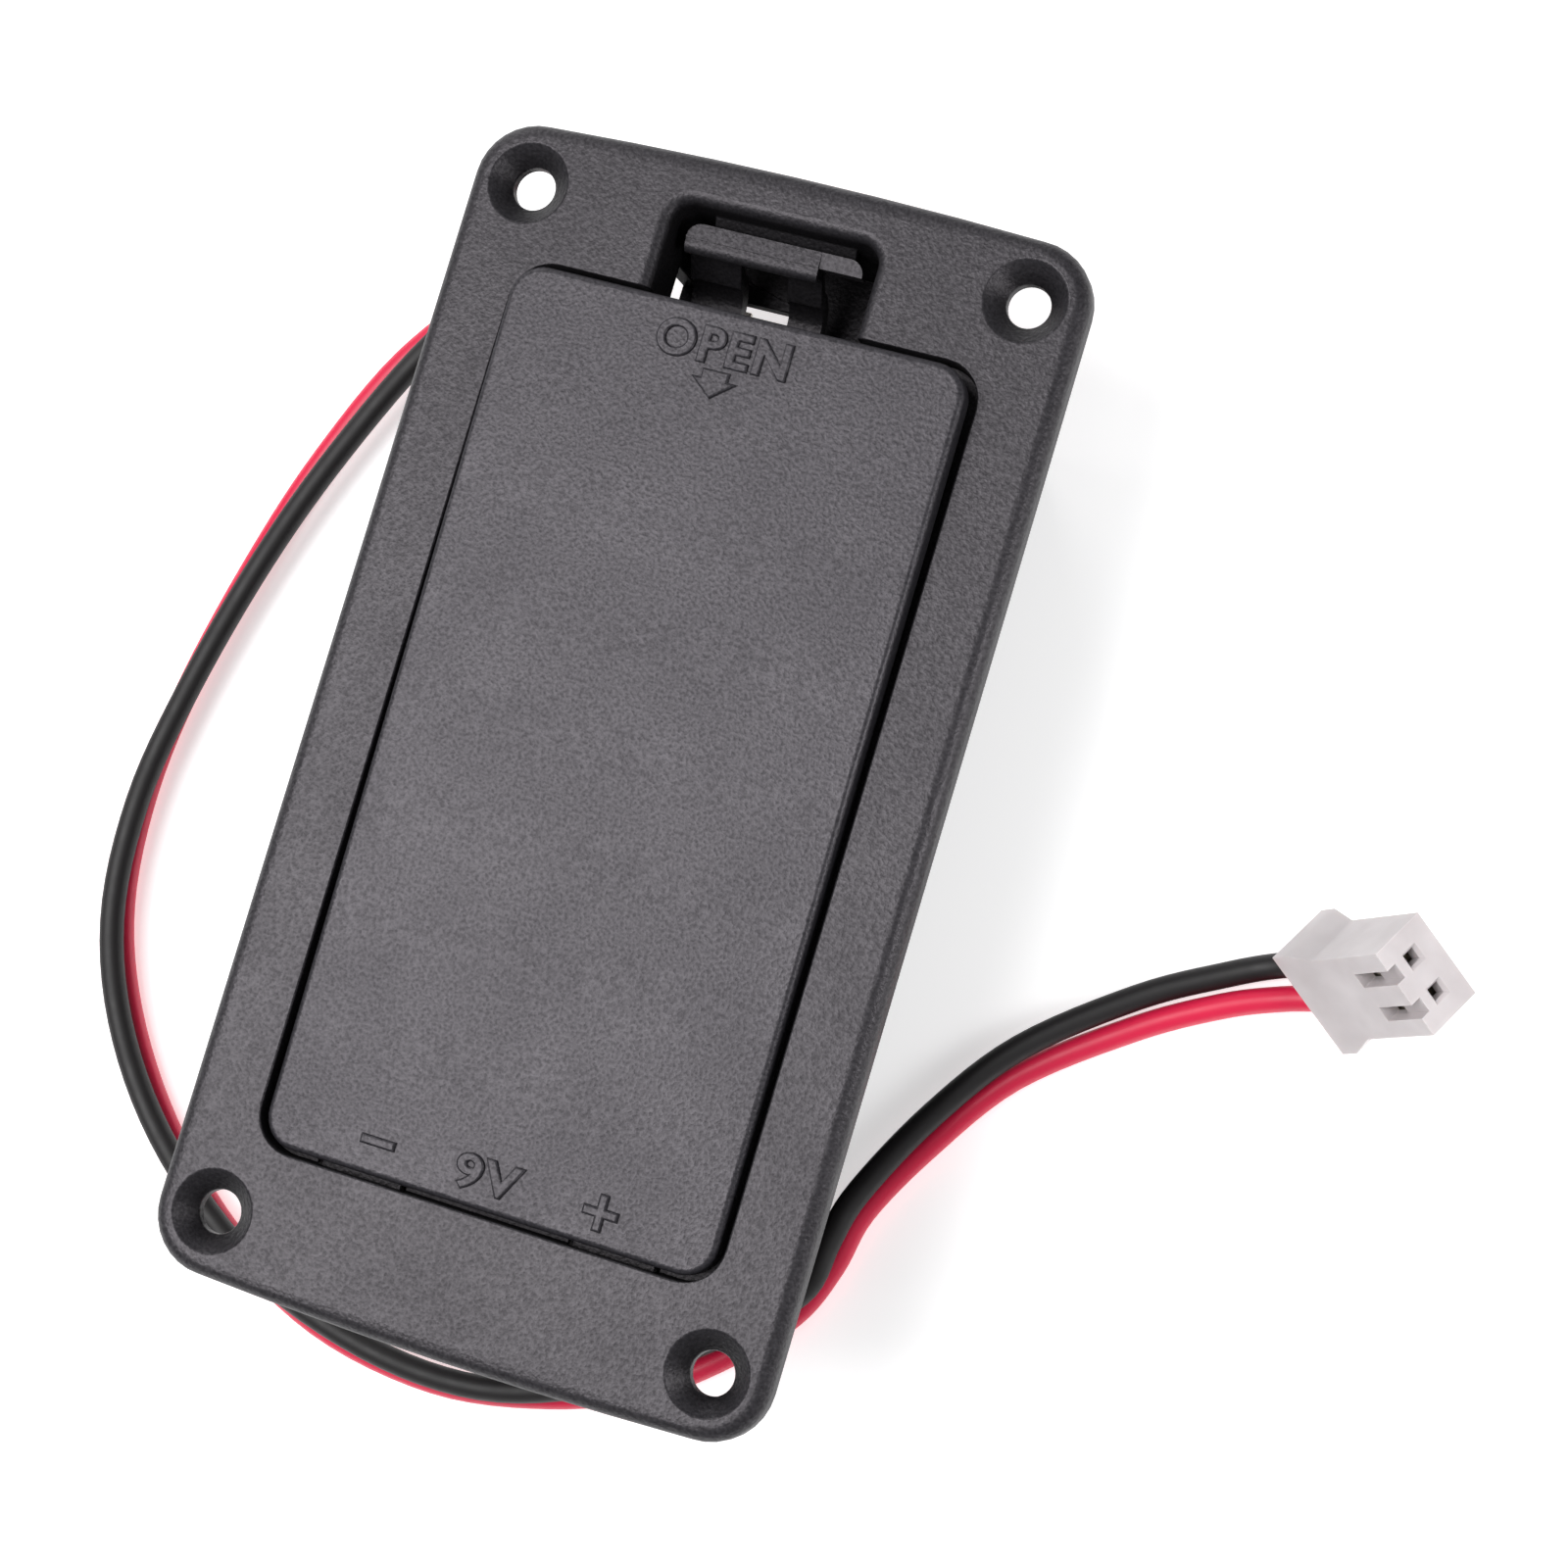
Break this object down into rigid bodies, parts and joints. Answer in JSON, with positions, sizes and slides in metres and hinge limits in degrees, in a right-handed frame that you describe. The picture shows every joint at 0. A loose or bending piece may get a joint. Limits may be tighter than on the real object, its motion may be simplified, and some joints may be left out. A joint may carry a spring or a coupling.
{
  "type": "nine volt battery holder",
  "caption": "Flush-mount box for one block battery, with a screw-down flange, a hinged lid, a sprung thumb latch, and red and black leads to a two-way crimp plug.",
  "frame": {"origin": "middle of the underside of the tub, which the holder rests on", "axes": "+Z out of the plate's face, +Y along the plate towards the latch, +X across the plate towards the positive contact"},
  "size_m": [0.0878, 0.08, 0.0232],
  "materials": {
    "case_plastic": "fine moulded grain",
    "lid_plastic": "fine moulded grain",
    "contact_metal": "nickel plated spring strip",
    "solder": "bright solder",
    "red_insulation": "smooth extruded",
    "black_insulation": "smooth extruded",
    "plug_nylon": "milky unfilled nylon",
    "terminal_metal": "tin plated brass"
  },
  "bodies": {
    "case": {"case": "case_plastic", "contact_positive": "contact_metal", "contact_negative": "contact_metal", "solder_positive": "solder", "solder_negative": "solder", "wire_red": "red_insulation", "wire_black": "black_insulation", "plug_housing": "plug_nylon", "crimp_terminal_red": "terminal_metal", "crimp_terminal_black": "terminal_metal"},
    "lid": {"lid": "lid_plastic"},
    "latch": {"latch_tongue": "lid_plastic"}
  },
  "joints": [
    {"name": "lid_hinge", "type": "hinge", "parent": "case", "child": "lid", "pos_m": [0, -0.02705, 0.0215], "axis": [1, 0, 0], "range_deg": [0, 75]},
    {"name": "latch_flex", "type": "hinge", "parent": "lid", "child": "latch", "pos_m": [0, 0.02964, 0.01648], "axis": [1, 0, 0], "range_deg": [0, 12], "stiffness_Nm_per_rad": 0.03}
  ]
}
